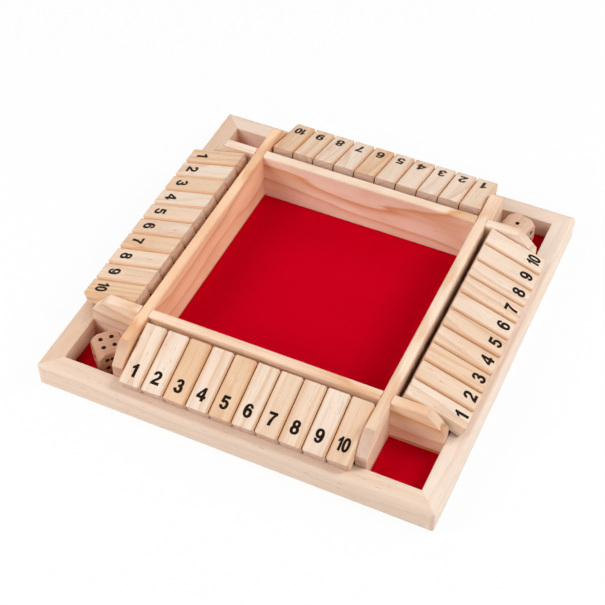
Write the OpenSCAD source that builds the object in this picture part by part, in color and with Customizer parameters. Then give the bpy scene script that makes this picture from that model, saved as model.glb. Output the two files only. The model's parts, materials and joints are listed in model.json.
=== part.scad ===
// Four-player number-tile board: a square frame with a felt-lined centre well,
// four corner trays, a bank of ten hinged tiles along each side and two dice.
// Millimetres. +Z is up, -Y is the front, and z = 0 is the table top.

/* [Frame] */
// Outer side of the square frame
box_size = 225; // [205:1:260]
// Width of each frame rail, seen from above
rail_w = 11.4; // [9:0.1:16]
// Height of the frame rails
rail_h = 15.4; // [11:0.1:24]
// Rounding of the rails' outer long edges
rail_edge_r = 2.4; // [0.5:0.1:3.6]
// Easing of the rails' inner top edge
rail_inner_r = 0.6; // [0.2:0.1:2]
// Rounding of the frame's four upright corners
rail_corner_r = 2.6; // [0.5:0.1:5]

/* [Floor] */
// Thickness of the base board
base_t = 3.2; // [2:0.1:5]
// How far the base board runs under the rails
base_rebate = 5; // [2:0.1:7]
// Gap between the base board's edge and its rebate
base_gap = 0.15; // [0.05:0.05:0.5]
// Thickness of the felt
felt_t = 0.8; // [0.4:0.1:2]
// Gap left all round each piece of felt
felt_gap = 0.3; // [0.1:0.1:1]

/* [Walls] */
// Inside width of the centre well
well_size = 131.3; // [120:0.1:140]
// Thickness of the dividers, cross walls and stub walls
wall_t = 6; // [5:0.1:7]
// Height of the walls above the top of the rails
wall_rise = 18.6; // [16:0.1:24]
// Rounding of the walls' top long edges
wall_edge_r = 1.3; // [0.3:0.1:2.4]
// Length of the slope at each wall end that meets a rail
slope_run = 10.4; // [4:0.1:16]
// Height of that slope
slope_drop = 10.9; // [4:0.1:14]

/* [Tiles] */
// Thickness of a tile
tile_t = 8; // [6:0.1:10]
// Gap between two tiles
tile_gap = 0.5; // [0.3:0.05:0.8]
// Gap between the last tile of a bank and the wall beside it
tile_side_gap = 1; // [0.9:0.1:2]
// Length of a tile from the rod's axis to its inner end
tile_tail = 7.5; // [5:0.1:8.5]
// How far past the rail's inner edge the tile's low corner lies
tile_rest_in = 5; // [3:0.1:7]
// Rounding of the tiles' long edges
tile_edge_r = 1.4; // [0.3:0.1:2.4]
// Rounding of the tiles' end edges
tile_end_r = 0.7; // [0.2:0.1:2]
// Rounding of the tiles' corners, seen from above
tile_corner_r = 1.6; // [0.2:0.1:3]
// Air left under a tile that lies on the rail
tile_rest_gap = 0.08; // [0.03:0.01:0.3]
// How much higher the front, right, back and left banks' low corners lie
bank_lift = [0, 0.3, 1.9, 2];
// How far each of those banks has slid along its rod
bank_slide = [0.6, 0.4, -0.2, 0.4];

/* [Pivot rods] */
// Diameter of the rods
rod_d = 2.5; // [1.5:0.1:4]
// Radial clearance of a rod in the tiles
rod_clear = 0.08; // [0.02:0.01:0.1]
// Radial clearance of a rod in the walls
rod_fit = 0.03; // [0.01:0.01:0.1]
// Depth of a rod's end in the wall
rod_depth = 4; // [2:0.1:4.8]
// Distance from the wall's outer face to the rod's axis
rod_out = 10.25; // [9.6:0.05:12]
// How far the front, right, back and left rods lie outwards of that
rod_shift = [-0.4, 0.1, 0.9, 1.1];
// Height of the rod's axis above the top of the rails
rod_rise = 12.9; // [11:0.1:14]

/* [Dice] */
// Width of a die across its flat faces
die_size = 16; // [12:0.5:17]
// Diameter of the ball that rounds a die's corners
die_ball_d = 22.8; // [18:0.1:26]
// Rounding of a die's edges
die_edge_r = 1.3; // [0.2:0.1:1.5]
// Diameter of a pip
pip_d = 2.6; // [1.5:0.1:3.4]
// Depth of a pip
pip_depth = 0.6; // [0.3:0.1:1.2]
// Distance from a face's middle to a row of pips
pip_step = 3; // [2:0.1:3.2]
// Least gap between a die and the walls of its tray
die_gap = 0.3; // [0.2:0.1:1]
// Front die: shares of its way from the tray's middle to the walls, and turn about Z
die_front_at = [0.96, 0.06, -43];
// Rear die: shares of its way from the tray's middle to the walls, and turn about Z
die_rear_at = [-0.44, 0.49, -14];

/* [Hidden] */

// Extra length that carries a cutting tool past a face
over = 1;
// Facets of the preview; the solids keep true curves
$fn = 48;

// Tiles in a bank, and the quarter turn that takes the front bank to each side
tiles = 10;
quarter = 90;
side_front = 0;
side_right = 1;
side_back = 2;
side_left = 3;

// Plan of the frame and walls, measured outwards from the middle
half = box_size / 2;
inner = half - rail_w;
well = well_size / 2;
wall_out = well + wall_t;
tray_mid = (wall_out + inner) / 2;

// Room of a die each way from its tray's middle, and how far that lets it turn
die_room = (inner - wall_out) / 2 - die_gap;
die_turn_room = asin(min(1, max(0, pow(2 * die_room / die_size, 2) - 1))) / 2;

// Heights above the table
floor_z = base_t + felt_t;
wall_top = rail_h + wall_rise;
wall_h = wall_top - base_t;
slope_end_z = wall_top - slope_drop;

// Pivot rods: where an even bank's rod lies, and each bank's own distance
rod_s = wall_out + rod_out;
rod_at = [for (shift = rod_shift) rod_s + shift];
rod_z = rail_h + rod_rise;
rod_len = well_size + 2 * rod_depth;

// Tiles: the round low corner at a tile's outer end lies on the rail, which sets
// the tile's length and, with the bank's lift, the angle that it rests at
tile_w = (well_size - 2 * tile_side_gap - (tiles - 1) * tile_gap) / tiles;
tile_pitch = tile_w + tile_gap;
corner_out = inner + tile_rest_in - rod_s;
corner_down = rod_rise - tile_rest_gap - tile_end_r;
corner_below = tile_t / 2 - tile_end_r;
corner_reach = sqrt(pow(corner_out, 2) + pow(corner_down, 2));
corner_along = sqrt(pow(corner_reach, 2) - pow(corner_below, 2));
tile_arm = corner_along + tile_end_r;
tile_tilt = [for (lift = bank_lift)
  asin((corner_down - lift) / corner_reach) - atan2(corner_below, corner_along)];
tile_len = tile_arm + tile_tail;
tile_mid = (tile_tail - tile_arm) / 2;

// Pips of each face as [across, up] steps from the face's middle
PIPS_1 = [[0, 0]];
PIPS_2 = [[-1, -1], [1, 1]];
PIPS_3 = [[-1, -1], [0, 0], [1, 1]];
PIPS_4 = [[-1, -1], [-1, 1], [1, -1], [1, 1]];
PIPS_5 = [[-1, -1], [-1, 1], [0, 0], [1, -1], [1, 1]];
PIPS_6 = [[-1, -1], [-1, 0], [-1, 1], [1, -1], [1, 0], [1, 1]];
// The turn that brings each face of a die to the top, with that face's pips
DIE_FACES = [
  [[0, 0, 0], PIPS_1], [[-quarter, 0, 0], PIPS_2], [[0, -quarter, 0], PIPS_3],
  [[0, quarter, 0], PIPS_4], [[quarter, 0, 0], PIPS_5], [[2 * quarter, 0, 0], PIPS_6]
];

pine = [0.93, 0.82, 0.66];
pine_tile = [0.94, 0.84, 0.70];
ply = [0.86, 0.73, 0.55];
felt_red = [0.70, 0.02, 0.08];
steel = [0.72, 0.72, 0.74];
die_wood = [0.88, 0.74, 0.58];

// Rectangle about the origin with round corners
module round_rect(w, h, r) {
  square([w - 2 * r, h], center = true);
  square([w, h - 2 * r], center = true);
  for (x = [-1, 1]) for (y = [-1, 1])
    translate([x * (w / 2 - r), y * (h / 2 - r)]) circle(r);
}

// What rounding takes from a corner at the origin whose material lies at +x, +y
module corner_waste(r) {
  difference() {
    translate([-over, -over]) square(r + over);
    translate([r, r]) circle(r);
  }
}

// --- Frame -----------------------------------------------------------------

// Section of a rail: x runs outwards from the middle of the box, y is up
module rail_section() {
  difference() {
    translate([inner, 0]) square([rail_w, rail_h]);
    translate([inner - over, -over]) square([base_rebate + over, base_t + over]);
    translate([half, rail_h]) rotate(2 * quarter) corner_waste(rail_edge_r);
    translate([half, 0]) rotate(quarter) corner_waste(rail_edge_r);
    translate([inner, rail_h]) rotate(-quarter) corner_waste(rail_inner_r);
  }
}

// Front rail, mitred at both ends and turned to its side of the box
module rail(side) {
  color(pine) rotate(side * quarter) intersection() {
    rotate([quarter, 0, -quarter]) linear_extrude(box_size + 2 * over, center = true)
      rail_section();
    translate([0, 0, -over]) linear_extrude(rail_h + 2 * over)
      polygon([[0, 0], [-half - over, -half - over], [half + over, -half - over]]);
    translate([0, 0, -over]) linear_extrude(rail_h + 2 * over)
      round_rect(box_size, box_size, rail_corner_r);
  }
}

module rail_front() rail(side_front);
module rail_right() rail(side_right);
module rail_back() rail(side_back);
module rail_left() rail(side_left);

// Board let into the rails' rebate from below
module base_board() {
  side = 2 * (inner + base_rebate - base_gap);
  color(ply) translate([-side / 2, -side / 2, 0]) cube([side, side, base_t]);
}

// Nine pieces of felt: the well, the four trays and the strips under the tiles
module felt_lining() {
  well_side = 2 * (well - felt_gap);
  tray_side = inner - wall_out - 2 * felt_gap;
  color(felt_red) for (ix = [-1:1]) for (iy = [-1:1]) {
    w = ix == 0 ? well_side : tray_side;
    d = iy == 0 ? well_side : tray_side;
    translate([ix * tray_mid - w / 2, iy * tray_mid - d / 2, base_t]) cube([w, d, felt_t]);
  }
}

// --- Walls -----------------------------------------------------------------

// Section of a wall: x runs outwards from its inner face, y is up from the board
module wall_section() {
  difference() {
    square([wall_t, wall_h]);
    translate([0, wall_h]) rotate(-quarter) corner_waste(wall_edge_r);
    translate([wall_t, wall_h]) rotate(2 * quarter) corner_waste(wall_edge_r);
  }
}

// Wall along X on the front side of the well, between two places on X
module wall_bar(from, to) {
  translate([to, -well, base_t]) rotate([quarter, 0, -quarter])
    linear_extrude(to - from) wall_section();
}

// What the slope takes from a wall that meets the rail at +X
module slope_waste() {
  start = inner - slope_run;
  rotate([quarter, 0, 0]) linear_extrude(box_size, center = true)
    polygon([
      [start, wall_top], [inner, slope_end_z], [inner + over, slope_end_z],
      [inner + over, wall_top + over], [start, wall_top + over]
    ]);
}

// Blind hole for the end of one bank's rod, in a wall on the front side of the well
module rod_hole(bank) {
  translate([rod_at[bank % 4], over - well, rod_z]) rotate([quarter, 0, 0])
    cylinder(d = rod_d + 2 * rod_fit, h = rod_depth + over);
}

// Divider from rail to rail, drawn along X and turned to its side of the well
module divider(side) {
  color(pine) rotate(side * quarter) difference() {
    wall_bar(-inner, inner);
    for (end = [0, 1]) mirror([end, 0, 0]) {
      slope_waste();
      rod_hole(side + 1 + 2 * end);
    }
  }
}

module divider_left() divider(side_left);
module divider_right() divider(side_right);

module cross_wall_front() color(pine) wall_bar(-well, well);
module cross_wall_back() color(pine) mirror([0, 1, 0]) wall_bar(-well, well);

// Short wall between a divider and the side rail, at one corner tray
module stub(left, back) {
  color(pine) mirror([left, 0, 0]) mirror([0, back, 0]) difference() {
    wall_bar(wall_out, inner);
    slope_waste();
    rod_hole(left == 1 ? side_left : side_right);
  }
}

module stub_front_left() stub(1, 0);
module stub_front_right() stub(0, 0);
module stub_back_right() stub(0, 1);
module stub_back_left() stub(1, 1);

// --- Tiles and pivot rods --------------------------------------------------

// Steel rod through the ten tiles of one side
module rod(side) {
  color(steel) rotate(side * quarter) translate([0, -rod_at[side], rod_z])
    rotate([0, quarter, 0]) cylinder(d = rod_d, h = rod_len, center = true);
}

module rod_front() rod(side_front);
module rod_right() rod(side_right);
module rod_back() rod(side_back);
module rod_left() rod(side_left);

// Tile about its rod's axis, which lies along X; the outer end points to -Y
module tile_blank() {
  difference() {
    intersection() {
      rotate([quarter, 0, quarter]) linear_extrude(tile_w + 2 * over, center = true)
        translate([tile_mid, 0]) round_rect(tile_len, tile_t, tile_end_r);
      translate([0, tile_mid, 0]) rotate([quarter, 0, 0])
        linear_extrude(tile_len + 2 * over, center = true)
          round_rect(tile_w, tile_t, tile_edge_r);
      translate([0, tile_mid, 0]) linear_extrude(tile_t + 2 * over, center = true)
        round_rect(tile_w, tile_len, tile_corner_r);
    }
    rotate([0, quarter, 0])
      cylinder(d = rod_d + 2 * rod_clear, h = tile_w + 2 * over, center = true);
  }
}

// Tile number k of one side, as it lies on the rail. Each bank counts from left
// to right for the player who sits at that side.
module tile(side, k) {
  color(pine_tile) rotate(side * quarter)
    translate([(k - (tiles + 1) / 2) * tile_pitch + bank_slide[side], -rod_at[side], rod_z])
      rotate([tile_tilt[side], 0, 0]) tile_blank();
}

module tile_front(k) tile(side_front, k);
module tile_right(k) tile(side_right, k);
module tile_back(k) tile(side_back, k);
module tile_left(k) tile(side_left, k);

// --- Dice ------------------------------------------------------------------

// Cube with eased edges, for the die's body
module die_cube() {
  intersection_for (turn = [[0, 0, 0], [quarter, 0, 0], [0, quarter, 0]])
    rotate(turn) linear_extrude(die_size, center = true)
      round_rect(die_size, die_size, die_edge_r);
}

// Ball that hollows out one pip in the upper face of a die
module pip() {
  ball_r = (pow(pip_d / 2, 2) + pow(pip_depth, 2)) / (2 * pip_depth);
  translate([0, 0, die_size / 2 - pip_depth + ball_r]) sphere(r = ball_r);
}

module die() {
  color(die_wood) difference() {
    intersection() {
      die_cube();
      sphere(d = die_ball_d);
    }
    for (face = DIE_FACES) rotate(face[0]) for (at = face[1])
      translate([at[0] * pip_step, at[1] * pip_step, 0]) pip();
  }
}

// Die on the felt of a tray: place is its shares of the way to the walls and its turn.
// In a tray too narrow for that turn, it lies as far turned as the walls let it.
module die_in_tray(x_side, y_side, place) {
  turn = min(abs(place[2]), die_turn_room);
  way = die_room - die_size / 2 * (cos(turn) + sin(turn));
  translate([
    x_side * tray_mid + place[0] * way, y_side * tray_mid + place[1] * way,
    floor_z + die_size / 2
  ]) rotate(sign(place[2]) * turn) children();
}

// Front die, with its four upwards
module die_front_left() die_in_tray(-1, -1, die_front_at) rotate([0, -quarter, 0]) die();
// Rear die, with its one upwards
module die_back_right() die_in_tray(1, 1, die_rear_at) die();

// --- Parts -----------------------------------------------------------------

rail_front();
rail_right();
rail_back();
rail_left();
base_board();
felt_lining();
divider_left();
divider_right();
cross_wall_front();
cross_wall_back();
stub_front_left();
stub_front_right();
stub_back_right();
stub_back_left();
rod_front();
rod_right();
rod_back();
rod_left();
for (k = [1:tiles]) {
  tile_front(k);
  tile_right(k);
  tile_back(k);
  tile_left(k);
}
die_front_left();
die_back_right();
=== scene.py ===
"""Dresses the packed number board: pine and felt, printed numbers, dice and a studio."""

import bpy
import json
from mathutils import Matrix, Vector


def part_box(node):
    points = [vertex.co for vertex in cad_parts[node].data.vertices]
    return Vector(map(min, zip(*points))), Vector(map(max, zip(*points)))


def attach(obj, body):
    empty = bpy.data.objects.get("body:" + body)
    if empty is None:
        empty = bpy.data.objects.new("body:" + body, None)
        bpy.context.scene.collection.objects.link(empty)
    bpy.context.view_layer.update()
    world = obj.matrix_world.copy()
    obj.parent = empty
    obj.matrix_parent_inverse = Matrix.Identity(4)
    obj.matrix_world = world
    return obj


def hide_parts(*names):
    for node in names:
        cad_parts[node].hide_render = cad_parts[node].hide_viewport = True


bl_info = {
    "name": "Number Board Dressing",
    "version": (1, 0, 0),
    "blender": (4, 5, 0),
    "location": "3D View > Sidebar > Number Board",
    "description": "Pine, felt, printed numbers and dice for a four-sided tile board",
    "category": "Object",
}

import json
import math
import random

import bpy
from bpy.props import (
    FloatProperty,
    FloatVectorProperty,
    PointerProperty,
)
from mathutils import Euler, Matrix, Vector, noise
from mathutils.geometry import tessellate_polygon

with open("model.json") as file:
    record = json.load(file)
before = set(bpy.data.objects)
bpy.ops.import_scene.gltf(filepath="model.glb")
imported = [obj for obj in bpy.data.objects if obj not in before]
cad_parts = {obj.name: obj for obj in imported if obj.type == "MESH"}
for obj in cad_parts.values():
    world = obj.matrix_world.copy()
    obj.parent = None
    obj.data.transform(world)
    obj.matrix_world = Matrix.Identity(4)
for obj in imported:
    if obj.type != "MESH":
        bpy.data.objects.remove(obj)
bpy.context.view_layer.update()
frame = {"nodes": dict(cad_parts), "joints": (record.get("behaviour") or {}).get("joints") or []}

MM = 0.001
QUARTER = math.pi / 2
X, Y, Z = (Vector((1, 0, 0)), Vector((0, 1, 0)), Vector((0, 0, 1)))
WHITE = (1, 1, 1, 1)
MAIN_BODY = "box"
BANKS = ("front", "right", "back", "left")
TILES = 10

# First seed of each group, so that no two pieces get the same grain or wear
SEEDS = {
    "ink": 5, "rails": 11, "pips": 17, "base_board": 21, "walls": 31, "dice": 61, "tiles": 101
}
INK_SEED_STEP = 3


def paint(code):
    """A colour written as RRGGBB, in the linear values that a shader takes."""
    shades = (int(code[i : i + 2], 16) / 255 for i in (0, 2, 4))
    linear = [s / 12.92 if s < 0.04045 else ((s + 0.055) / 1.055) ** 2.4 for s in shades]
    return (*linear, 1.0)


def blend(first, second, share):
    """A colour part of the way from one colour to another."""
    return [a + (b - a) * share for a, b in zip(first, second)]


# --- Settings ---------------------------------------------------------------


def colour(name, code, description):
    return FloatVectorProperty(
        name=name,
        description=description,
        default=paint(code),
        subtype="COLOR",
        size=4,
        min=0,
        max=1,
    )


def length(name, metres, description):
    return FloatProperty(
        name=name, description=description, default=metres, unit="LENGTH", min=0, precision=5
    )


class BoardWoodSettings(bpy.types.PropertyGroup):
    """Colours of the pine frame, walls and tiles."""

    rail_light: colour("Pale rail", "F6E3D3", "Wood of the palest frame rails")
    rail_deep: colour("Deep rail", "E8C9B0", "Wood of the deepest-coloured frame rails")
    rail_dark: colour("Rail growth rings", "D8A981", "Growth rings of the frame rails")
    wall_light: colour("Pale wall", "FBE8D4", "Wood of the palest dividers and walls")
    wall_deep: colour("Deep wall", "FFD0A6", "Wood of the deepest-coloured dividers and walls")
    wall_dark: colour("Wall growth rings", "DB9A62", "Growth rings of the dividers and walls")
    tile_light: colour("Pale tile", "F7E4D2", "Wood of the palest tiles")
    tile_deep: colour("Deep tile", "ECC49C", "Wood of the deepest-coloured tiles")
    tile_dark: colour("Tile growth rings", "D2935C", "Growth rings of the tiles")
    # Painted shade along the tiles' rounded long edges
    tile_edge_shade: colour("Shade on tile edges", "DE9F65", "Shade painted along the long edges of the tiles")
    # Painted shade on the tiles' sides that face the next tile
    gap_shade: colour("Shade between tiles", "6E3C14", "Shade painted on the sides that face the next tile")
    end_grain: colour("End grain", "D2AE9B", "Sawn ends of the tiles")
    wall_end: colour("Wall ends", "E9C9B4", "Sawn ends of the frame rails, dividers and walls")
    resin: colour("Resin fleck", "8A5230", "Short dark resin flecks along the grain")
    veneer: colour("Veneer", "D9B48C", "Underside of the base board")


class BoardFeltSettings(bpy.types.PropertyGroup):
    """The felt in the well, in the trays and under the tiles."""

    red: colour("Felt", "CC001D", "Colour of the felt")
    shade: colour("Felt in the nap", "A40015", "Darker felt between the fibres")
    cell: length("Mesh cell", 2.2 * MM, "Distance between the points of a felt sheet")
    nap: length("Nap", 0.05 * MM, "How far the felt's face waves up and down")
    soft_edge: length("Soft edge", 0.3 * MM, "Rounding of the cut edges")
    turn_up: length("Turned edge", 2.9 * MM, "How far the felt cut too large turns up at the walls")
    turn_width: length("Bend", 1.0 * MM, "Width of the bend where that felt turns up")


class BoardNumberSettings(bpy.types.PropertyGroup):
    """The numbers printed on the tiles."""

    height: length("Height", 7.3 * MM, "Height of a number")
    weight: length("Weight", 0.16 * MM, "How far the strokes are thickened on each side")
    proud: length("Ink", 0.03 * MM, "How far the ink stands on the wood")
    sunk: length("Press", 0.05 * MM, "How far the ink is pressed into the wood")
    ink: colour("Ink", "140B07", "Colour of the printed numbers and the pips")
    worn: colour("Worn ink", "4A382F", "Ink where wood shows through it")


class BoardMetalSettings(bpy.types.PropertyGroup):
    """The pivot rods."""

    steel: colour("Steel", "B9BABD", "Colour of the rods")
    stain: colour("Steel stain", "8C8B89", "Duller patches on the rods")


class BoardDiceSettings(bpy.types.PropertyGroup):
    """The two wooden dice."""

    wood: colour("Die", "E6C2A8", "Wood of the paler die")
    # The deeper die sits in a shaded tray: its deeper wood is partly painted shade
    deep_and_shaded_wood: colour("Deep die", "CFA389", "Wood of the die in the shaded tray, deeper partly as painted shade")
    # The growth-ring colour is also painted as shade on the deeper die's sawn ends
    dark: colour("Die growth rings", "BB8061", "Growth rings of the dice")
    pip_width: length("Pip width", 2.6 * MM, "Width of a pip at the face")
    pip_depth: length("Pip depth", 0.6 * MM, "Depth of a pip")
    pip_step: length("Pip step", 3.0 * MM, "From a face's middle to a row of pips")
    paint_film: length("Paint", 0.03 * MM, "Thickness of the paint in a pip")


class BoardStageSettings(bpy.types.PropertyGroup):
    """Floor, lamps and camera."""

    floor: colour("Floor", "F7F7F7", "Colour of the floor")
    floor_half: length("Floor half width", 4.0, "Half the width of the floor")
    floor_glow: FloatProperty(
        name="Floor glow", description="Share of plain white in the floor that the camera sees",
        default=0.92, subtype="FACTOR", min=0, max=1,
    )
    sky: FloatProperty(
        name="Sky", description="Strength of the even light from all round", default=0.05, min=0
    )
    lamp_power: FloatProperty(
        name="Lamps", description="Power of all the lamps together",
        default=16.4, unit="POWER", min=0,
    )
    lamp_distance: length("Lamp distance", 1.0, "From the middle of the board to each lamp")
    lamp_side: length("Lamp side", 0.42, "Width and height of each lamp")
    lens: FloatProperty(
        name="Lens", description="Focal length of the camera, in millimetres", default=81.386, min=1
    )
    camera_at: FloatVectorProperty(
        name="Camera place", description="Where the camera stands", unit="LENGTH",
        default=(0.21093, -0.46735, 0.56937), precision=5,
    )
    camera_turn: FloatVectorProperty(
        name="Camera turn", description="How the camera is turned", subtype="EULER",
        default=tuple(math.radians(a) for a in (42.1492, 0.3395, 24.9218)),
    )


# --- Shader maths -----------------------------------------------------------


class Value:
    """A number that changes over a surface. Sums on it add Math nodes."""

    def __init__(self, finish, socket):
        self.finish = finish
        self.socket = socket

    def math(self, operation, *terms, clamp=False):
        settings = {"operation": operation, "use_clamp": clamp}
        return self.finish.value("ShaderNodeMath", settings, dict(enumerate(terms)))

    def __add__(self, other):
        return self.math("ADD", self, other)

    __radd__ = __add__

    def __sub__(self, other):
        return self.math("SUBTRACT", self, other)

    def __rsub__(self, other):
        return self.math("SUBTRACT", other, self)

    def __mul__(self, other):
        return self.math("MULTIPLY", self, other)

    __rmul__ = __mul__

    def __truediv__(self, other):
        return self.math("DIVIDE", self, other)

    def __pow__(self, other):
        return self.math("POWER", self, other)

    def __abs__(self):
        return self.math("ABSOLUTE", self)

    def root(self):
        return self.math("SQRT", self)

    def part(self):
        """What is left of a number past its whole part."""
        return self.math("FRACT", self)

    def whole(self):
        return self.math("FLOOR", self)

    def held(self):
        """The number held between 0 and 1."""
        return self.math("ADD", self, 0.0, clamp=True)

    def step(self, start, end):
        """0 before start and 1 after end, with a smooth climb between, or a fall if end is less."""
        settings = {"interpolation_type": "SMOOTHSTEP"}
        inputs = {"Value": self, "From Min": start, "From Max": end}
        return self.finish.value("ShaderNodeMapRange", settings, inputs)


class Finish:
    """The nodes of a material or of the sky, and the one way to add a node to them."""

    def __init__(self, owner):
        self.owner = owner
        owner.use_nodes = True
        self.tree = owner.node_tree
        self.tree.nodes.clear()

    def add(self, kind, settings=None, inputs=None):
        node = self.tree.nodes.new(kind)
        for key, value in (settings or {}).items():
            setattr(node, key, value)
        for key, value in (inputs or {}).items():
            self.put(node, key, value)
        return node

    def put(self, node, key, value):
        """Sets or links one input, named by its place, its identifier or its name."""
        if isinstance(key, int):
            socket = node.inputs[key]
        else:
            socket = next(s for s in node.inputs if key in (s.identifier, s.name))
        source = value.socket if isinstance(value, Value) else value
        if isinstance(source, bpy.types.NodeSocket):
            self.tree.links.new(source, socket)
        else:
            socket.default_value = source

    def value(self, kind, settings=None, inputs=None, output=0):
        return Value(self, self.add(kind, settings, inputs).outputs[output])

    def noise(self, at, scale, detail=2.0, roughness=0.5):
        inputs = {"Vector": at, "Scale": scale, "Detail": detail, "Roughness": roughness}
        return self.value("ShaderNodeTexNoise", None, inputs)

    def vector(self, operation, *terms):
        """A Vector Math node's result."""
        node = self.add("ShaderNodeVectorMath", {"operation": operation}, dict(enumerate(terms)))
        return node.outputs["Vector"]

    def stretch(self, at, scales, shift=(0, 0, 0)):
        """Local millimetres made ready for a noise that is longer one way than another."""
        return self.vector("MULTIPLY_ADD", at, scales, shift)

    def mix(self, share, first, second):
        settings = {"data_type": "RGBA"}
        inputs = {"Factor_Float": share, "A_Color": first, "B_Color": second}
        return self.add("ShaderNodeMix", settings, inputs).outputs[2]

    def brighten(self, shade, factor):
        """A colour times a number."""
        node = self.add("ShaderNodeVectorMath", {"operation": "SCALE"}, {0: shade, "Scale": factor})
        return node.outputs["Vector"]

    def bump(self, height, distance, strength):
        inputs = {"Height": height, "Distance": distance, "Strength": strength}
        return self.add("ShaderNodeBump", None, inputs).outputs["Normal"]

    def close(self, inputs):
        """Ends the tree with a Principled shader and returns the material."""
        shader = self.add("ShaderNodeBsdfPrincipled", None, inputs)
        self.add("ShaderNodeOutputMaterial", None, {"Surface": shader.outputs[0]})
        return self.owner


def new_finish(name):
    return Finish(bpy.data.materials.new(name))


class Board:
    """How a piece of timber lies in the object, and how its growth rings lie in it.

    heart is the rings' middle, in millimetres across the piece and up from its own middle,
    and how far the rings drift for each millimetre along it. ring is one ring's width in
    millimetres.
    """

    SHIFT_REACH = 40
    SHIFTS = 31

    def __init__(self, middle, along, up, seed, heart=(0, 0, 0), ring=1):
        self.middle = middle
        self.along = along.normalized()
        self.up = up.normalized()
        self.heart = heart
        self.ring = ring
        self.seed = seed

    @property
    def turn(self):
        across = self.along.cross(self.up)
        return Matrix((across, self.along, self.up)).transposed().to_euler()

    def shift(self, step):
        """A place of its own in the noise for each mark, of which a board has under SHIFTS."""
        pick = random.Random(self.seed * self.SHIFTS + step)
        return tuple(pick.uniform(-self.SHIFT_REACH, self.SHIFT_REACH) for _ in range(3))

    def marks(self, finish, at, table):
        """Noises drawn out along the grain: one for each row of a table of marks."""
        noises = []
        for step, (waves, detail, roughness) in enumerate(table.values(), 1):
            place = finish.stretch(at, waves, self.shift(step))
            noises.append(finish.noise(place, 1.0, detail, roughness))
        return noises


def node_board(node, along, seed, **rings):
    """The board that a CAD node is sawn from, lying flat."""
    low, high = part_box(node)
    return Board((low + high) / 2, along, Z, seed, **rings)


def object_mm(finish):
    """Places in the whole object in millimetres."""
    place = finish.add("ShaderNodeTexCoord")
    return finish.vector("MULTIPLY", place.outputs["Object"], (1 / MM, 1 / MM, 1 / MM))


def local_mm(finish, board):
    """Places on a board in millimetres: x across it, y along its grain, z up."""
    place = finish.add("ShaderNodeTexCoord")
    inputs = {
        "Vector": place.outputs["Object"],
        "Location": board.middle,
        "Rotation": board.turn,
        "Scale": (MM, MM, MM),
    }
    mapped = finish.add("ShaderNodeMapping", {"vector_type": "TEXTURE"}, inputs)
    return place, mapped.outputs["Vector"]


# Marks in the wood: waves in a millimetre across, along and up, fineness and roughness
PINE_MARKS = {
    "wander": ((0.03, 0.009, 0.03), 2.0, 0.5),
    "ripple": ((0.25, 0.03, 0.25), 2.0, 0.5),
    "fibre": ((5.0, 0.11, 5.0), 3.0, 0.6),
    "streak": ((0.75, 0.018, 0.75), 3.0, 0.6),
    "cloud": ((0.09, 0.03, 0.09), 2.0, 0.5),
    "spot": ((2.6, 0.16, 2.6), 1.0, 0.5),
    "pore": ((3.2, 3.2, 3.2), 2.0, 0.7),
}
VENEER_MARKS = {
    "wave": ((0.05, 0.008, 0.05), 3.0, 0.5),
    "pore": ((4.0, 0.2, 4.0), 3.0, 0.7),
    "spot": ((1.2, 0.1, 1.2), 1.0, 0.5),
}

# Levels at which each mark begins and is full, and how squarely a sawn end looks along the grain
FLECKS, CLOUDS, STREAKS = (0.69, 0.76), (0.35, 0.75), (0.46, 0.74)
PORES, SAWN = (0.35, 0.8), (0.45, 0.9)
# How far the wander and the ripple bend the growth rings, in rings
RING_BEND, RING_QUIVER = 3.0, 0.35
# The dark wood of a ring: how late it comes and how sharply it ends, and its least strength
# and what a strong year adds to that
LATE_WOOD, LATE_END, YEAR_LEAST, YEAR_ADDED = 3.0, 9.0, 0.45, 0.75

# Millimetres in from a tile's sides and from its faces: where the shade painted on its long edges
# starts and is full, and where the shade painted on its sides starts and is full
EDGE_SHADE_SIDE, EDGE_SHADE_FACE = (1.5, 0.4), (1.6, 0.4)
GAP_SHADE_SIDE, GAP_SHADE_FACE = (0.2, 0.03), (1.0, 1.7)


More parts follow.
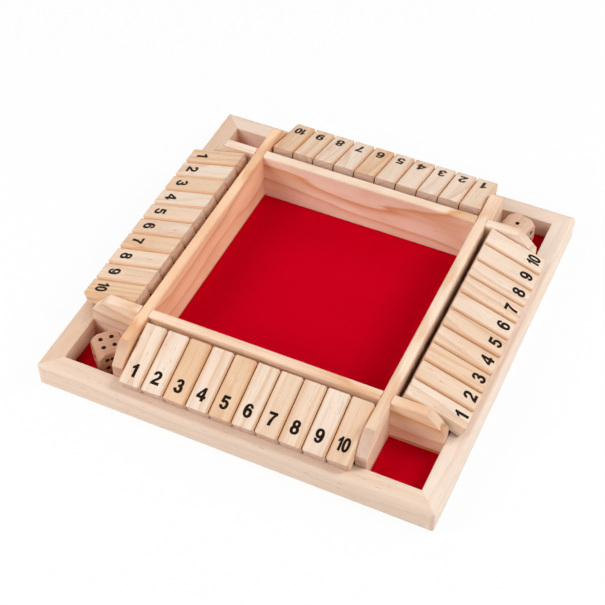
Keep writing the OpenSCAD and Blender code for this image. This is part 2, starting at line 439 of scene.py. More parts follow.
def pine(name, board, light, dark, look, rings, streaks, flecks, ends, size=None, gap_shade=(0, 0)):
    """Planed pine with growth rings, streaks, fibres, resin flecks and sawn ends.

    rings, streaks and flecks are the strengths of those marks. ends holds the colour of the
    sawn ends and its share. size holds a tile's width, length and thickness; its long edges
    then get painted shade in the edge colour and the soft shine of handled wood, and the last
    argument says how dark the shade painted on its two sides is, where they face the next tiles.
    """
    finish = new_finish(name)
    place, at = local_mm(finish, board)
    split = finish.add("ShaderNodeSeparateXYZ", None, {0: at}).outputs
    x, y, z = (Value(finish, split[i]) for i in range(3))
    wander, ripple, fibre, streak, cloud, spot, pore = board.marks(finish, at, PINE_MARKS)

    # Growth rings round the heart of the tree, bent by a slow wander along the grain
    heart_x, heart_z, drift = board.heart
    radius = ((x - heart_x) ** 2 + (z - heart_z) ** 2).root()
    phase = (radius + y * drift) / board.ring + wander * RING_BEND + ripple * RING_QUIVER
    turn = phase.part()
    late = turn**LATE_WOOD * ((1 - turn) * LATE_END).held()
    year = finish.value("ShaderNodeTexWhiteNoise", {"noise_dimensions": "1D"}, {"W": phase.whole()})
    late = (late * (YEAR_LEAST + year * YEAR_ADDED) * rings).held()

    # Clouds and streaks of the darker wood, fibres and short resin flecks
    shade = finish.mix(late, light, dark)
    shade = finish.mix(cloud.step(*CLOUDS) * 0.25 * rings, shade, dark)
    shade = finish.mix(streak.step(*STREAKS) * streaks, shade, dark)
    shade = finish.brighten(shade, 1.0 + (fibre - 0.5) * 0.22)
    shade = finish.mix(spot.step(*FLECKS) * flecks, shade, look.resin)

    # Sawn ends: the growth rings show darker there, with open pores
    end_colour, end_share = ends
    settings = {"operation": "DOT_PRODUCT"}
    inputs = {0: place.outputs["Normal"], 1: board.along}
    facing = finish.value("ShaderNodeVectorMath", settings, inputs, output="Value")
    end = abs(facing).step(*SAWN)
    cut = finish.mix((pore.step(*PORES) * 0.16 + late * 0.7).held(), end_colour, look.resin)
    shade = finish.mix(end * end_share, shade, cut)

    # Fibres stand up a little, the hard dark rings sink, and sawn ends are rough
    rough = 0.56 + (fibre - 0.5) * 0.18 + end * 0.2
    height = fibre * 0.6 - late * 0.5 + pore * end * 0.8

    # A tile's edges and sides: painted shade along its rounded long edges, which are also less
    # rough, and on the sides that face the next tiles
    if size is not None:
        side, face = size[0] / 2 / MM, size[2] / 2 / MM
        rim = abs(x).step(*(side - edge for edge in EDGE_SHADE_SIDE))
        rim = rim * abs(z).step(*(face - edge for edge in EDGE_SHADE_FACE))
        rim = (rim * (0.35 + streak * 0.9)).held()
        # Painted shade along the rounded long edges
        shade = finish.mix(rim * 0.75, shade, look.tile_edge_shade)
        rough = rough - rim * 0.14
        # Painted shade on the sides that face the next tiles, except near the upper face
        left, right = ((x * hand).step(*(side - edge for edge in GAP_SHADE_SIDE)) for hand in (-1, 1))
        below = z.step(*(face - edge for edge in GAP_SHADE_FACE))
        shade = finish.mix((left * gap_shade[0] + right * gap_shade[1]) * below, shade, look.gap_shade)
    inputs = {
        "Base Color": shade,
        "Roughness": rough.held(),
        "Normal": finish.bump(height, 0.09 * MM, 0.55),
        "Specular IOR Level": 0.2,
    }
    return finish.close(inputs)


def felt_cloth(name, felt):
    """Pressed felt: tangled fibres, a faint nap and a soft bloom at the edges."""
    finish = new_finish(name)
    at = object_mm(finish)
    bend = finish.noise(finish.stretch(at, (0.6, 0.6, 0.6)), 1.0, 2.0)
    tangle = finish.noise(at, 3.4, 4.0, 0.75)
    across = finish.noise(finish.stretch(at, (2.6, 0.5, 2.0)), 1.0, 3.0, 0.7)
    along = finish.noise(finish.stretch(at, (0.5, 2.6, 2.0), (9, 4, 0)), 1.0, 3.0, 0.7)
    patch = finish.noise(at, 0.035, 2.0)
    strand = (tangle * 0.5 + across * 0.25 + along * 0.25 + (bend - 0.5) * 0.1).held()
    shade = finish.mix(strand.step(0.62, 0.3) * 0.55, felt.red, felt.shade)
    shade = finish.brighten(shade, 0.95 + patch * 0.1)
    inputs = {
        "Base Color": shade,
        "Roughness": (0.86 + strand * 0.12).held(),
        "Specular IOR Level": 0.0,
        "Sheen Weight": 0.05,
        "Sheen Roughness": 0.6,
        "Sheen Tint": (1.0, 0.05, 0.1, 1.0),
        "Normal": finish.bump(strand, 0.25 * MM, 0.5),
    }
    return finish.close(inputs)


def printed_ink(name, numbers, seed, wear):
    """Matt ink with pinholes where the wood's fibres show, and its share of worn ink."""
    finish = new_finish(name)
    at = object_mm(finish)
    grain = finish.noise(finish.stretch(at, (2.2, 2.2, 2.2), (seed, 0, seed * 2)), 1.0, 3.0, 0.7)
    film = finish.noise(finish.stretch(at, (0.5, 0.5, 0.5), (0, seed, 0)), 1.0, 2.0)
    worn = (grain.step(0.56, 0.74) * 0.6 + wear).held()
    inputs = {
        "Base Color": finish.mix(worn, numbers.ink, numbers.worn),
        "Roughness": (0.55 + film * 0.2 + worn * 0.2).held(),
        "Specular IOR Level": 0.06,
        "Normal": finish.bump(grain, 0.03 * MM, 0.5),
    }
    return finish.close(inputs)


# Waves in a millimetre of a drawn rod's fine lines, along it and across it
DRAWN_ALONG, DRAWN_ACROSS = 0.08, 7.0


def drawn_steel(name, metal, along):
    """Bright drawn rod, with fine lines along it and duller patches."""
    finish = new_finish(name)
    at = object_mm(finish)
    drawn = tuple(DRAWN_ALONG if part else DRAWN_ACROSS for part in along)
    line = finish.noise(finish.stretch(at, drawn), 1.0, 3.0, 0.6)
    patch = finish.noise(at, 0.22, 3.0)
    dull = patch.step(0.45, 0.7)
    inputs = {
        "Base Color": finish.mix(dull * 0.7, metal.steel, metal.stain),
        "Metallic": 1.0,
        "Roughness": (0.26 + line * 0.14 + dull * 0.14).held(),
        "Normal": finish.bump(line, 0.02 * MM, 0.5),
    }
    return finish.close(inputs)


def veneered_board(name, wood, board):
    """Rotary-cut veneer: wide wavy figure, small pores and a few dark flecks."""
    finish = new_finish(name)
    _, at = local_mm(finish, board)
    wave, pore, spot = board.marks(finish, at, VENEER_MARKS)
    figure = abs((wave * 14.0).part() - 0.5) * 2.0
    shade = finish.mix(figure * 0.35, wood.veneer, wood.tile_dark)
    shade = finish.brighten(shade, 0.9 + pore * 0.2)
    shade = finish.mix(spot.step(0.7, 0.78) * 0.5, shade, wood.resin)
    inputs = {
        "Base Color": shade,
        "Roughness": (0.6 + pore * 0.15).held(),
        "Specular IOR Level": 0.3,
        "Normal": finish.bump(pore, 0.08 * MM, 0.5),
    }
    return finish.close(inputs)


# --- Making pieces ----------------------------------------------------------


def dress(node, material):
    """Gives a CAD node its finish."""
    slots = frame["nodes"][node].data.materials
    slots.clear()
    slots.append(material)


def new_piece(name, points, faces, material, smooth=False):
    """A new mesh piece, in metres in the shared frame."""
    mesh = bpy.data.meshes.new(name)
    mesh.from_pydata([tuple(p) for p in points], [], faces)
    mesh.validate()
    mesh.materials.append(material)
    for face in mesh.polygons:
        face.use_smooth = smooth
    piece = bpy.data.objects.new(name, mesh)
    bpy.context.scene.collection.objects.link(piece)
    return piece


class TileFrame:
    """Where a tile lies: the rod's axis, the tile's width, its grain and its upper face."""

    LOOKS_UP = 0.5
    SAME_WAY = 0.9999

    def __init__(self, bank, number):
        self.name = f"tile_{bank}_{number}"
        joint = next(j for j in frame["joints"] if j["child"] == self.name)
        self.pivot = Vector(joint["pos_m"])
        self.across = -Vector(joint["axis"])
        mesh = frame["nodes"][self.name].data
        upper = [p for p in mesh.polygons if p.normal.z > self.LOOKS_UP]
        widest = max(upper, key=lambda p: p.area).normal.copy()
        flat = [p for p in upper if p.normal.dot(widest) > self.SAME_WAY]
        normal = sum((p.normal * p.area for p in flat), Vector())
        normal -= self.across * normal.dot(self.across)
        self.up = normal.normalized()
        self.inward = self.up.cross(self.across).normalized()
        spread = [self.measure(v.co) for v in mesh.vertices]
        self.low = Vector([min(s[i] for s in spread) for i in range(3)])
        self.high = Vector([max(s[i] for s in spread) for i in range(3)])

    def measure(self, point):
        """A point as its distances across the tile, towards the well, and up."""
        off = point - self.pivot
        return off.dot(self.across), off.dot(self.inward), off.dot(self.up)

    def point(self, across, inward, up):
        return self.pivot + self.across * across + self.inward * inward + self.up * up


# --- Numerals ---------------------------------------------------------------
# Outlines of plain block numerals. A numeral is a list of outlines: the first is its
# edge and any others are its holes. Ten has two numerals, and the others one.

NUMERAL_HEIGHT = 100
SQUARISH = 2.25
# Keeps the thickened strokes from growing a spike at a sharp corner
LEAST_CORNER = 0.6


def bow(x, y, wide, high, start, end, steps):
    """Part of a squarish oval, from one angle to another in degrees."""
    points = []
    for i in range(steps + 1):
        angle = math.radians(start + (end - start) * i / steps)
        c, s = math.cos(angle), math.sin(angle)
        out = (abs(c) ** SQUARISH + abs(s) ** SQUARISH) ** (-1 / SQUARISH)
        points.append((x + wide * out * c, y + high * out * s))
    return points


def half_turned(outlines, x, y):
    """The same outlines, turned half round about a point."""
    return [[(2 * x - u, 2 * y - v) for u, v in line] for line in outlines]


def squeezed(outlines, share, shift):
    """The same outlines, narrower and moved to the right."""
    return [[(u * share + shift, v) for u, v in line] for line in outlines]


def swollen(line, amount):
    """The same closed outline with its edges moved to its right by an amount."""
    moved = []
    for i, point in enumerate(line):
        before, after = line[i - 1], line[(i + 1) % len(line)]
        sides = []
        for start, end in ((before, point), (point, after)):
            sides.append(Vector((end[1] - start[1], start[0] - end[0])).normalized())
        corner = (sides[0] + sides[1]) * amount / max(LEAST_CORNER, 1 + sides[0].dot(sides[1]))
        moved.append((point[0] + corner.x, point[1] + corner.y))
    return moved


def area_of(line):
    """Twice the area of an outline, below 0 where it runs clockwise."""
    return sum(line[i - 1][0] * v - line[i - 1][1] * u for i, (u, v) in enumerate(line))


def thickened(outlines, amount):
    """The same numeral with thicker strokes."""
    lines = []
    for i, line in enumerate(outlines):
        outwards = 1 if (area_of(line) > 0) == (i == 0) else -1
        lines.append(swollen(line, amount * outwards))
    return lines


def numeral_shapes():
    """The numerals of each number from 1 to 10."""
    zero = [bow(32, 50, 31.5, 51, 0, 351, 40), bow(32, 50, 12.2, 34, 0, 345, 28)]
    one = [[(41, 0), (41, 100), (25.5, 100), (21, 91), (13, 83), (3, 77.5),
            (3, 60.5), (12.5, 64.5), (21, 71), (21, 0)]]
    two = [
        [(2, 68)]
        + bow(31, 70, 29, 31, 178, -22, 22)
        + [(53, 50), (44, 39.5), (33, 29.5), (27, 23), (24.5, 18.5), (60.5, 18.5), (60.5, 0),
           (0, 0), (2, 12), (8, 24), (19, 36.5), (31, 48), (38.5, 57)]
        + bow(30.5, 70.5, 10.5, 14.5, -18, 176, 16)
    ]
    three = [
        [(3, 73)]
        + bow(30, 73, 26, 27.8, 170, -36, 20)
        + [(49.5, 53.6)]
        + bow(30.5, 29.5, 30.5, 31, 41, -172, 22)
        + [(0.5, 28), (19, 30.5)]
        + bow(30, 30, 11.3, 15, -168, 78, 16)
        + [(27, 45.5), (22.5, 45.2), (23.5, 59.8), (28, 59.8)]
        + bow(29.8, 73.2, 9.5, 12.4, -70, 162, 14)
    ]
    four = [
        [(37, 0), (55.5, 0), (55.5, 21), (66, 21), (66, 38), (55.5, 38), (55.5, 100),
         (39, 100), (0, 37), (0, 21), (37, 21)],
        [(37, 38), (37, 71), (16, 38)],
    ]
    five = [
        [(9, 99), (57, 99), (57, 81), (23.5, 81), (21, 64)]
        + bow(31, 32.8, 29.8, 33.6, 98, -170, 22)
        + [(0.5, 27), (19.5, 29)]
        + bow(30.5, 32.8, 12, 18.2, -166, 138, 18)
        + [(20.5, 47), (3.5, 49)]
    ]
    six = [
        [(58.5, 73), (40, 72)]
        + bow(33, 68, 10.5, 17.5, 18, 150, 10)
        + [(22.0, 70), (22.4, 64.4)]
        + bow(33, 32.4, 29.3, 34, 105, -86, 20)
        + bow(33, 49.6, 32.2, 50.8, -90, -270, 26)[1:]
        + bow(33, 67.5, 25.8, 33, 86, 10, 8)
    ]
    six[0].reverse()
    six.append(bow(32.6, 32, 11.2, 17.8, 0, 345, 22))
    seven = [
        [(2, 99), (60.5, 99), (60.5, 84.5), (50, 70), (42, 50), (37, 27), (35.5, 0), (16, 0),
         (18, 23), (23.5, 46), (32, 66), (41, 81), (2, 81)]
    ]
    eight = [
        bow(31, 73.3, 26.8, 27.8, -40, 220, 22) + bow(31, 29.3, 30.5, 30.6, 134, 406, 24),
        bow(31, 73.8, 9.6, 12, 0, 345, 20),
        bow(31, 29.2, 12, 15, 0, 345, 22),
    ]
    nine = half_turned(six, 32, 50)
    digits = (one, two, three, four, five, six, seven, eight, nine)
    shapes = {number: [digit] for number, digit in enumerate(digits, 1)}
    return {**shapes, 10: [squeezed(one, 0.74, -2), squeezed(zero, 0.80, 35)]}


# For each row of numbers, in millimetres: from the tiles' outer ends to the row's middle,
# how much farther in each number is than the one before it, and the row's step aside; then
# the share of worn ink
NUMBER_ROWS = {
    "front": (9.2, 0.17, -0.3, 0.1),
    "right": (5.9, 0.16, 0.6, 0.2),
    "back": (8.3, 0.12, 0.2, 0.9),
    "left": (9.2, 0.0, 0.0, 0.5),
}


def numeral_mesh(shapes, place, levels):
    """Points and faces of closed films of ink.

    place(u, v, level) turns a place in an outline into metres. levels are the heights of a
    film's upper and lower face.
    """
    points, faces = [], []
    for shape in shapes:
        flat = [[Vector((u, v, 0)) for u, v in line] for line in shape]
        corners = [corner for line in flat for corner in line]
        first, count = len(points), len(corners)
        for level in levels:
            points += [place(corner.x, corner.y, level) for corner in corners]
        for a, b, c in tessellate_polygon(flat):
            if (corners[b] - corners[a]).cross(corners[c] - corners[a]).z < 0:
                b, c = c, b
            top = (first + a, first + b, first + c)
            faces += [top, tuple(count + i for i in reversed(top))]

        # Walls between the two faces, along the edge and round the holes
        start = first
        for line in shape:
            forward = (area_of(line) > 0) == (line is shape[0])
            for i in range(len(line)):
                a, b = start + i, start + (i + 1) % len(line)
                if not forward:
                    a, b = b, a
                faces.append((a, a + count, b + count, b))
            start += len(line)
    return points, faces


# --- Operators --------------------------------------------------------------


# Which way each bank's rail and rod lie
BANK_WAYS = {"front": X, "right": Y, "back": X, "left": Y}

# For each rail: heart of the growth rings, share of the deep colour, strength of the flecks
RAILS = {
    "front": ((46, -58, 0.02), 0.5, 0.6),
    "right": ((60, -40, 0.03), 0.0, 0.2),
    "back": ((-52, -70, -0.02), 0.3, 0.2),
    "left": ((38, -64, 0.025), 1.0, 0.35),
}
RAIL_RING = 5.2

# For each wall: direction of the grain, heart of the growth rings, their width and strength,
# strength of the streaks and share of the deep colour
WALLS = {
    "divider_left": (Y, (14, -52, 0.01), 12.5, 0.85, 0.1, 0.8),
    "divider_right": (Y, (-9, -60, -0.012), 10.5, 0.7, 0.3, 0.15),
    "cross_wall_front": (X, (12, -44, 0.05), 9.0, 1.0, 0.55, 0.35),
    "cross_wall_back": (X, (-16, -66, -0.012), 15.0, 1.1, 0.1, 0.1),
    "stub_front_left": (X, (10, -30, 0.03), 7.0, 0.8, 0.3, 0.2),
    "stub_front_right": (X, (-6, -30, 0.1), 10.0, 1.6, 0.3, 0.45),
    "stub_back_right": (X, (14, -38, -0.02), 8.0, 0.7, 0.3, 0.0),
    "stub_back_left": (X, (-10, -32, 0.02), 7.5, 0.7, 0.3, 0.0),
}

# Tiles of the deep and of the straw colour, the rest being pale, and each one's share of the
# deep colour, give or take the spread
DEEP_TILES = {"front": (3, 5), "right": (3,), "back": (6, 10), "left": (1, 3, 7, 10)}
STRAW_TILES = {"front": (7, 8, 10), "right": (2, 4, 5, 7), "back": (1, 9), "left": (5, 8, 9)}
DEEP_SHARE, STRAW_SHARE, PALE_SHARE, SHARE_SPREAD = 0.7, 0.4, 0.08, 0.08

# How dark the shade painted on the tiles' sides is, where they face the next ones
GAP_SHADE_TILES = {"front": 0.95, "right": 0.85, "back": 0.5, "left": 0.1}


class FrameWoodOperator(bpy.types.Operator):
    """Gives the four rails and the base board their wood"""

    bl_idname = "number_board.frame_wood"
    bl_label = "Frame wood"

    def execute(self, context):
        wood = context.scene.number_board_wood
        for seed, (bank, (heart, depth, flecks)) in enumerate(RAILS.items(), SEEDS["rails"]):
            node = f"rail_{bank}"
            board = node_board(node, BANK_WAYS[bank], seed, heart=heart, ring=RAIL_RING)
            material = pine(
                f"pine_{node}", board, blend(wood.rail_light, wood.rail_deep, depth),
                wood.rail_dark, wood, rings=0.3, streaks=0.12, flecks=flecks,
                ends=(wood.wall_end, 0.5),
            )
            dress(node, material)
        board = node_board("base_board", Y, SEEDS["base_board"])
        dress("base_board", veneered_board("veneer_base_board", wood, board))
        return {"FINISHED"}


class WallWoodOperator(bpy.types.Operator):
    """Gives the dividers, cross walls and stub walls their wood"""

    bl_idname = "number_board.wall_wood"
    bl_label = "Wall wood"

    def execute(self, context):
        wood = context.scene.number_board_wood
        for seed, (node, timber) in enumerate(WALLS.items(), SEEDS["walls"]):
            along, heart, ring, rings, streaks, depth = timber
            board = node_board(node, along, seed, heart=heart, ring=ring)
            material = pine(
                f"pine_{node}", board, blend(wood.wall_light, wood.wall_deep, depth),
                wood.wall_dark, wood, rings=rings, streaks=streaks, flecks=0.3,
                ends=(wood.wall_end, 0.65) if along is X else (wood.end_grain, 0.8),
            )
            dress(node, material)
        return {"FINISHED"}


class TileWoodOperator(bpy.types.Operator):
    """Gives each of the forty tiles a piece of pine of its own"""

    bl_idname = "number_board.tile_wood"
    bl_label = "Tile wood"

    def execute(self, context):
        wood = context.scene.number_board_wood
        places = [(bank, number) for bank in BANKS for number in range(1, TILES + 1)]
        for seed, (bank, number) in enumerate(places, SEEDS["tiles"]):
            tile = TileFrame(bank, number)
            pick = random.Random(seed)
            share = self.share(bank, number) + pick.uniform(-SHARE_SPREAD, SHARE_SPREAD)
            heart = (pick.uniform(-30, 30), -pick.uniform(10, 40), pick.uniform(-0.06, 0.06))
            middle = tile.point(*((tile.low + tile.high) / 2))
            board = Board(middle, tile.inward, tile.up, seed, heart, ring=pick.uniform(2.4, 5.5))
            material = pine(
                f"pine_{tile.name}", board, blend(wood.tile_light, wood.tile_deep, share),
                wood.tile_dark, wood,
                rings=0.5 + 0.3 * share, streaks=0.2 + 0.1 * share, flecks=0.55,
                ends=(wood.end_grain, 0.75), size=tile.high - tile.low,
                gap_shade=[GAP_SHADE_TILES[bank] if end != number else 0 for end in (1, TILES)],
            )
            dress(tile.name, material)
        return {"FINISHED"}

    def share(self, bank, number):
        """A tile's share of the deep colour."""
        if number in DEEP_TILES[bank]:
            return DEEP_SHARE
        return STRAW_SHARE if number in STRAW_TILES[bank] else PALE_SHARE


class RodOperator(bpy.types.Operator):
    """Gives the four pivot rods their steel"""

    bl_idname = "number_board.rods"
    bl_label = "Pivot rods"

    def execute(self, context):
        metal = context.scene.number_board_metal
        for bank in BANKS:
            dress(f"rod_{bank}", drawn_steel(f"steel_rod_{bank}", metal, BANK_WAYS[bank]))
        return {"FINISHED"}


class NumberOperator(bpy.types.Operator):
    """Prints the numbers on the tiles"""

    bl_idname = "number_board.numbers"
    bl_label = "Printed numbers"

    def execute(self, context):
        numbers = context.scene.number_board_numbers
        shapes = numeral_shapes()
        for side, (bank, (row, slant, aside, worn)) in enumerate(NUMBER_ROWS.items()):
            ink = printed_ink(f"ink_{bank}", numbers, SEEDS["ink"] + side * INK_SEED_STEP, worn)
            for number in range(1, TILES + 1):
                tile = TileFrame(bank, number)
                inward = tile.low.y + (row + slant * (number - (TILES + 1) / 2)) * MM
                points, faces = self.films(tile, shapes[number], numbers, aside * MM, inward)
                piece = new_piece(f"number_{bank}_{number}", points, faces, ink)
                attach(piece, tile.name)
        return {"FINISHED"}

    def films(self, tile, shapes, numbers, across, inward):
        """Points and faces of one number, with its middle at a place on its tile."""
        scale = numbers.height / NUMERAL_HEIGHT
        shapes = [thickened(shape, numbers.weight / scale) for shape in shapes]
        us = [u for shape in shapes for line in shape for u, _ in line]
        middle = (min(us) + max(us)) / 2

        def place(u, v, level):
            along = inward + (v - NUMERAL_HEIGHT / 2) * scale
            return tile.point((u - middle) * scale + across, along, tile.high.z + level)

        return numeral_mesh(shapes, place, (numbers.proud, -numbers.sunk))


# The felt in rows from the front, each from the left
FELT_ROWS = (
    ("felt_tray_front_left", "felt_strip_front", "felt_tray_front_right"),
    ("felt_strip_left", "felt_well", "felt_strip_right"),
    ("felt_tray_back_left", "felt_strip_back", "felt_tray_back_right"),
)
# The piece that was cut a little too large for its tray
TIGHT_FELT = "felt_tray_front_right"
# Waves in a metre of the felt's face
NAP_WAVES = 160


class FeltOperator(bpy.types.Operator):
    """Lays the nine pieces of felt on the base board"""

    bl_idname = "number_board.felt"
    bl_label = "Felt"

    def execute(self, context):
        felt = context.scene.number_board_felt
        cloth = felt_cloth("red_felt", felt)
        for name, low, high in felt_places():
            turned = felt.turn_up if name == TIGHT_FELT else 0.0
            piece = self.sheet(name, low, high, turned, felt, cloth)
            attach(piece, MAIN_BODY)
            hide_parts("felt_lining")
            size = high - low
            flat = (size.x + 2 * turned, size.y + 2 * turned)
        return {"FINISHED"}

    def sheet(self, name, low, high, turned, felt, cloth):
        """A sheet with a gently waving face and soft cut edges, turned up by a height."""
        size, soft = high - low, felt.soft_edge
        # Mesh lines near the edges, part and all of the way over the rounding and the bend
        near = [0, soft * 0.35, soft]
        if turned:
            near += [felt.turn_width * 0.6, felt.turn_width]
        across = self.stations(low.x, high.x, near, felt.cell)
        along = self.stations(low.y, high.y, near, felt.cell)
        points, faces = [], []
        for y in along:
            for x in across:
                edge = min(x - low.x, high.x - x, y - low.y, high.y - y)
                round_off = soft * (1 - math.sqrt(max(0.0, 1 - (1 - min(edge / soft, 1)) ** 2)))
                wave = noise.noise(Vector((x, y, size.x)) * NAP_WAVES) * felt.nap
                drop = felt.nap - min(wave, felt.nap) if edge > 0 else felt.nap
                lift = turned * (1 - min(edge / felt.turn_width, 1)) ** 2
                points.append((x, y, high.z - round_off - drop + lift))
        columns, rows = len(across), len(along)
        for r in range(rows - 1):
            for c in range(columns - 1):
                a = r * columns + c
                faces.append((a, a + 1, a + columns + 1, a + columns))

        # Cut edges down to the underside, and the underside
        rim = list(range(columns))
        rim += [r * columns + columns - 1 for r in range(1, rows)]
        rim += [(rows - 1) * columns + c for c in range(columns - 2, -1, -1)]
        rim += [r * columns for r in range(rows - 2, 0, -1)]
        under = len(points)
        points += [(points[i][0], points[i][1], low.z) for i in rim]
        for i in range(len(rim)):
            j = (i + 1) % len(rim)
            faces.append((rim[i], under + i, under + j, rim[j]))
        faces.append(tuple(reversed(range(under, under + len(rim)))))
        return new_piece(name, points, faces, cloth, smooth=True)

    def stations(self, start, end, near, cell):
        """Places of the mesh lines along one side, with the given ones near both edges."""
        inner = end - start - 2 * near[-1]
        steps = max(2, round(inner / cell))
        middle = [start + near[-1] + inner * i / steps for i in range(1, steps)]
        return [*(start + n for n in near), *middle, *(end - n for n in reversed(near))]


def third(place, limit):
    """0 below a wall, 1 between it and the wall opposite, and 2 above both."""
    if abs(place) < limit:
        return 1
    return 0 if place < 0 else 2


def felt_places():
    """Name, lowest and highest corner of each piece of felt, read from the CAD node."""
    mesh = frame["nodes"]["felt_lining"].data
    whole_low, whole_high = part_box("felt_lining")
    limit_x, limit_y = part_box("divider_right")[0].x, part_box("cross_wall_back")[0].y
    places = []
    for row, line in enumerate(FELT_ROWS):
        for column, name in enumerate(line):
            found = [
                v.co for v in mesh.vertices
                if (third(v.co.x, limit_x), third(v.co.y, limit_y)) == (column, row)
            ]
            low = Vector((min(v.x for v in found), min(v.y for v in found), whole_low.z))
            high = Vector((max(v.x for v in found), max(v.y for v in found), whole_high.z))
            places.append((name, low, high))
    return places


# The paint in a pip: its mesh, how much of the hollow's width it fills, and how thin it is at
# its edge
PAINT_RINGS, PAINT_SIDES = 5, 20
PAINT_REACH, PAINT_EDGE = 0.97, 0.4


class DiceOperator(bpy.types.Operator):
    """Gives the dice their wood and paints their pips"""

    bl_idname = "number_board.dice"
    bl_label = "Dice"

    def execute(self, context):
        dice = context.scene.number_board_dice
        wood = context.scene.number_board_wood
        numbers = context.scene.number_board_numbers
        ink = printed_ink("ink_pips", numbers, SEEDS["pips"], 0.3)
        # How each die is turned in its tray and rolled over, its wood and its sawn ends. The front
        # left die's deeper wood is partly its own tone and partly painted shade of its tray, and
        # its ends in the growth-ring colour are painted shade
        rolls = {
            "die_front_left": (
                -43, Matrix.Rotation(-QUARTER, 3, "Y"), dice.deep_and_shaded_wood, dice.dark
            ),
            "die_back_right": (-14, Matrix.Identity(3), dice.wood, dice.wood),
        }
        for seed, (node, (turn, roll, light, end)) in enumerate(rolls.items(), SEEDS["dice"]):
            low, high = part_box(node)
            middle, half = (low + high) / 2, (high.z - low.z) / 2
            turned = Matrix.Rotation(math.radians(turn), 3, "Z") @ roll
            board = Board(middle, turned @ Y, turned @ Z, seed, (9, -22, 0.02), ring=2.6)
            material = pine(
                f"wood_{node}", board, light, dice.dark, wood,
                rings=0.5, streaks=0.25, flecks=0.4, ends=(end, 0.8),
            )
            dress(node, material)
            points, faces = [], []
            for face_turn, pips in die_faces():
                for across, up in pips:
                    where = Vector((across * dice.pip_step, up * dice.pip_step, half))
                    self.bowl(points, faces, dice, middle, turned @ face_turn, where)
            piece = new_piece(f"{node}_pips", points, faces, ink, smooth=True)
            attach(piece, node)
        return {"FINISHED"}

    def bowl(self, points, faces, dice, middle, turned, where):
        """A closed film of paint in the hollow of one pip, sunk a little into the wood."""
        wide, deep = dice.pip_width / 2, dice.pip_depth
        ball = (wide * wide + deep * deep) / (2 * deep)
        first, count = len(points), 1 + PAINT_RINGS * PAINT_SIDES
        for lift in (dice.paint_film, -dice.paint_film):
            points.append(middle + turned @ (where + Vector((0, 0, lift - deep))))
            for ring in range(1, PAINT_RINGS + 1):
                out = wide * PAINT_REACH * ring / PAINT_RINGS
                height = ball - deep - math.sqrt(ball * ball - out * out)
                height += lift * (1 if ring < PAINT_RINGS else PAINT_EDGE)
                for side in range(PAINT_SIDES):
                    angle = 2 * math.pi * side / PAINT_SIDES
                    spot = Vector((out * math.cos(angle), out * math.sin(angle), height))
                    points.append(middle + turned @ (where + spot))
        outermost = first + count - PAINT_SIDES
        for side in range(PAINT_SIDES):
            other = (side + 1) % PAINT_SIDES
            wedge = [(first, first + 1 + side, first + 1 + other)]
            for a in range(first + 1, outermost, PAINT_SIDES):
                b = a + PAINT_SIDES
                wedge.append((a + side, b + side, b + other, a + other))
            faces += wedge + [tuple(count + i for i in reversed(face)) for face in wedge]
            a, b = outermost + side, outermost + other
            faces.append((a, a + count, b + count, b))


def die_faces():
    """The turn that brings each face of a die to the top, with its pips in steps."""

    def turn(axis, times):
        return Matrix.Rotation(times * QUARTER, 3, axis)

    corners = [(-1, -1), (-1, 1), (1, -1), (1, 1)]
    return [
        (Matrix.Identity(3), [(0, 0)]),
        (turn("X", -1), [(-1, -1), (1, 1)]),
        (turn("Y", -1), [(-1, -1), (0, 0), (1, 1)]),
        (turn("Y", 1), corners),
        (turn("X", 1), corners + [(0, 0)]),
        (turn("X", 2), corners + [(-1, 0), (1, 0)]),
    ]


# Nearest and farthest that the camera sees, in metres
CAMERA_REACH = (0.05, 50.0)

# Name, turn round the board from +X and tilt from overhead in degrees, share of the power
LAMPS = (
    ("lamp_right", 10, 40, 0.245),
    ("lamp_right_back_low", 40, 62, 0.16),
    ("lamp_left_front", 220, 40, 0.137),
    ("lamp_left_front_low", 225, 62, 0.249),
    ("lamp_left_back", 135, 50, 0.108),
    ("lamp_right_front_low", 315, 62, 0.101),
)


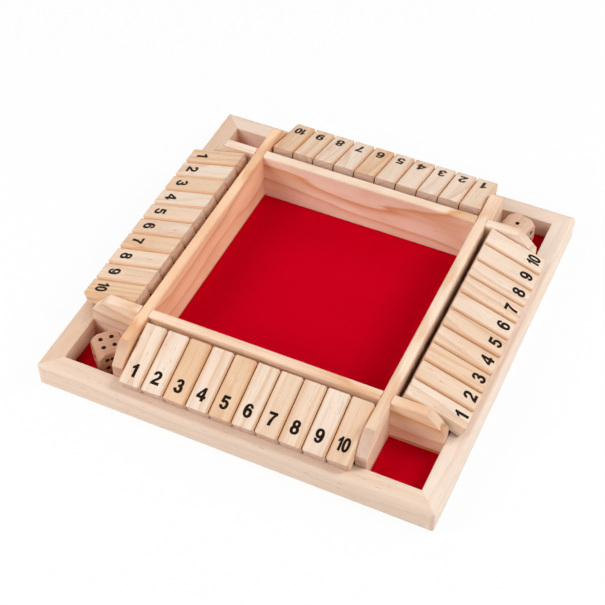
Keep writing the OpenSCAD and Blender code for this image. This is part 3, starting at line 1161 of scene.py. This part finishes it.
class StudioOperator(bpy.types.Operator):
    """Builds the floor, the lamps and the camera"""

    bl_idname = "number_board.studio"
    bl_label = "Floor, lamps and camera"

    def execute(self, context):
        stage = context.scene.number_board_stage
        self.floor(stage)
        self.sky(context.scene, stage)
        for name, round_z, tilt, share in LAMPS:
            self.lamp(name, stage, math.radians(round_z), math.radians(tilt), share)
        self.camera(context.scene, stage)
        context.scene.view_settings.view_transform = "Standard"
        return {"FINISHED"}

    def floor(self, stage):
        half = stage.floor_half
        points = [(-half, -half, 0), (half, -half, 0), (half, half, 0), (-half, half, 0)]
        finish = new_finish("pale_floor")
        seen = self.seen(finish)
        matt = finish.add("ShaderNodeBsdfDiffuse", None, {"Color": stage.floor})
        glow = finish.add("ShaderNodeEmission", None, {"Color": WHITE, "Strength": 1.0})
        inputs = {0: seen * stage.floor_glow, 1: matt.outputs[0], 2: glow.outputs[0]}
        mixed = finish.add("ShaderNodeMixShader", None, inputs)
        finish.add("ShaderNodeOutputMaterial", None, {"Surface": mixed.outputs[0]})
        floor = new_piece("floor", points, [(0, 1, 2, 3)], finish.owner)

    def seen(self, finish):
        """1 where the camera or a reflection looks, and 0 for the light itself."""
        ray = finish.add("ShaderNodeLightPath").outputs
        camera = Value(finish, ray["Is Camera Ray"])
        return camera.math("MAXIMUM", camera, ray["Is Glossy Ray"])

    def sky(self, scene, stage):
        scene.world = bpy.data.worlds.new("plain_sky")
        finish = Finish(scene.world)
        lit = finish.add("ShaderNodeBackground", None, {"Color": WHITE, "Strength": stage.sky})
        plain = finish.add("ShaderNodeBackground", None, {"Color": WHITE, "Strength": 1.0})
        inputs = {0: self.seen(finish), 1: lit.outputs[0], 2: plain.outputs[0]}
        mixed = finish.add("ShaderNodeMixShader", None, inputs)
        finish.add("ShaderNodeOutputWorld", None, {"Surface": mixed.outputs[0]})

    def lamp(self, name, stage, round_z, tilt, share):
        light = bpy.data.lights.new(name, "AREA")
        light.shape = "SQUARE"
        light.size = stage.lamp_side
        light.energy = stage.lamp_power * share
        lamp = bpy.data.objects.new(name, light)
        lamp.rotation_euler = Euler((0, tilt, round_z))
        lamp.location = lamp.rotation_euler.to_matrix() @ Z * stage.lamp_distance
        bpy.context.scene.collection.objects.link(lamp)

    def camera(self, scene, stage):
        lens = bpy.data.cameras.new("camera")
        lens.lens = stage.lens
        lens.sensor_fit = "HORIZONTAL"
        lens.clip_start, lens.clip_end = CAMERA_REACH
        camera = bpy.data.objects.new("camera", lens)
        camera.location = stage.camera_at
        camera.rotation_euler = Euler(stage.camera_turn)
        scene.collection.objects.link(camera)
        scene.camera = camera


class NumberBoardPanel(bpy.types.Panel):
    """Lists the pieces of the number board"""

    bl_idname = "VIEW3D_PT_number_board"
    bl_label = "Number Board"
    bl_space_type = "VIEW_3D"
    bl_region_type = "UI"
    bl_category = "Number Board"

    def draw(self, context):
        column = self.layout.column(align=True)
        for operator in OPERATORS:
            column.operator(operator.bl_idname)
        for name, group in SETTINGS.items():
            box = self.layout.box()
            box.label(text=group.__doc__)
            for prop in group.__annotations__:
                box.prop(getattr(context.scene, name), prop)


SETTINGS = {
    "number_board_wood": BoardWoodSettings,
    "number_board_felt": BoardFeltSettings,
    "number_board_numbers": BoardNumberSettings,
    "number_board_metal": BoardMetalSettings,
    "number_board_dice": BoardDiceSettings,
    "number_board_stage": BoardStageSettings,
}
OPERATORS = (
    StudioOperator,
    FrameWoodOperator,
    WallWoodOperator,
    TileWoodOperator,
    RodOperator,
    NumberOperator,
    FeltOperator,
    DiceOperator,
)
CLASSES = (*SETTINGS.values(), *OPERATORS, NumberBoardPanel)


def register():
    for group in CLASSES:
        bpy.utils.register_class(group)
    for name, group in SETTINGS.items():
        setattr(bpy.types.Scene, name, PointerProperty(type=group))


def unregister():
    for name in SETTINGS:
        delattr(bpy.types.Scene, name)
    for group in reversed(CLASSES):
        bpy.utils.unregister_class(group)


def main():
    register()
    for operator in OPERATORS:
        section, name = operator.bl_idname.split(".")
        getattr(getattr(bpy.ops, section), name)()


if __name__ == "__main__":
    main()
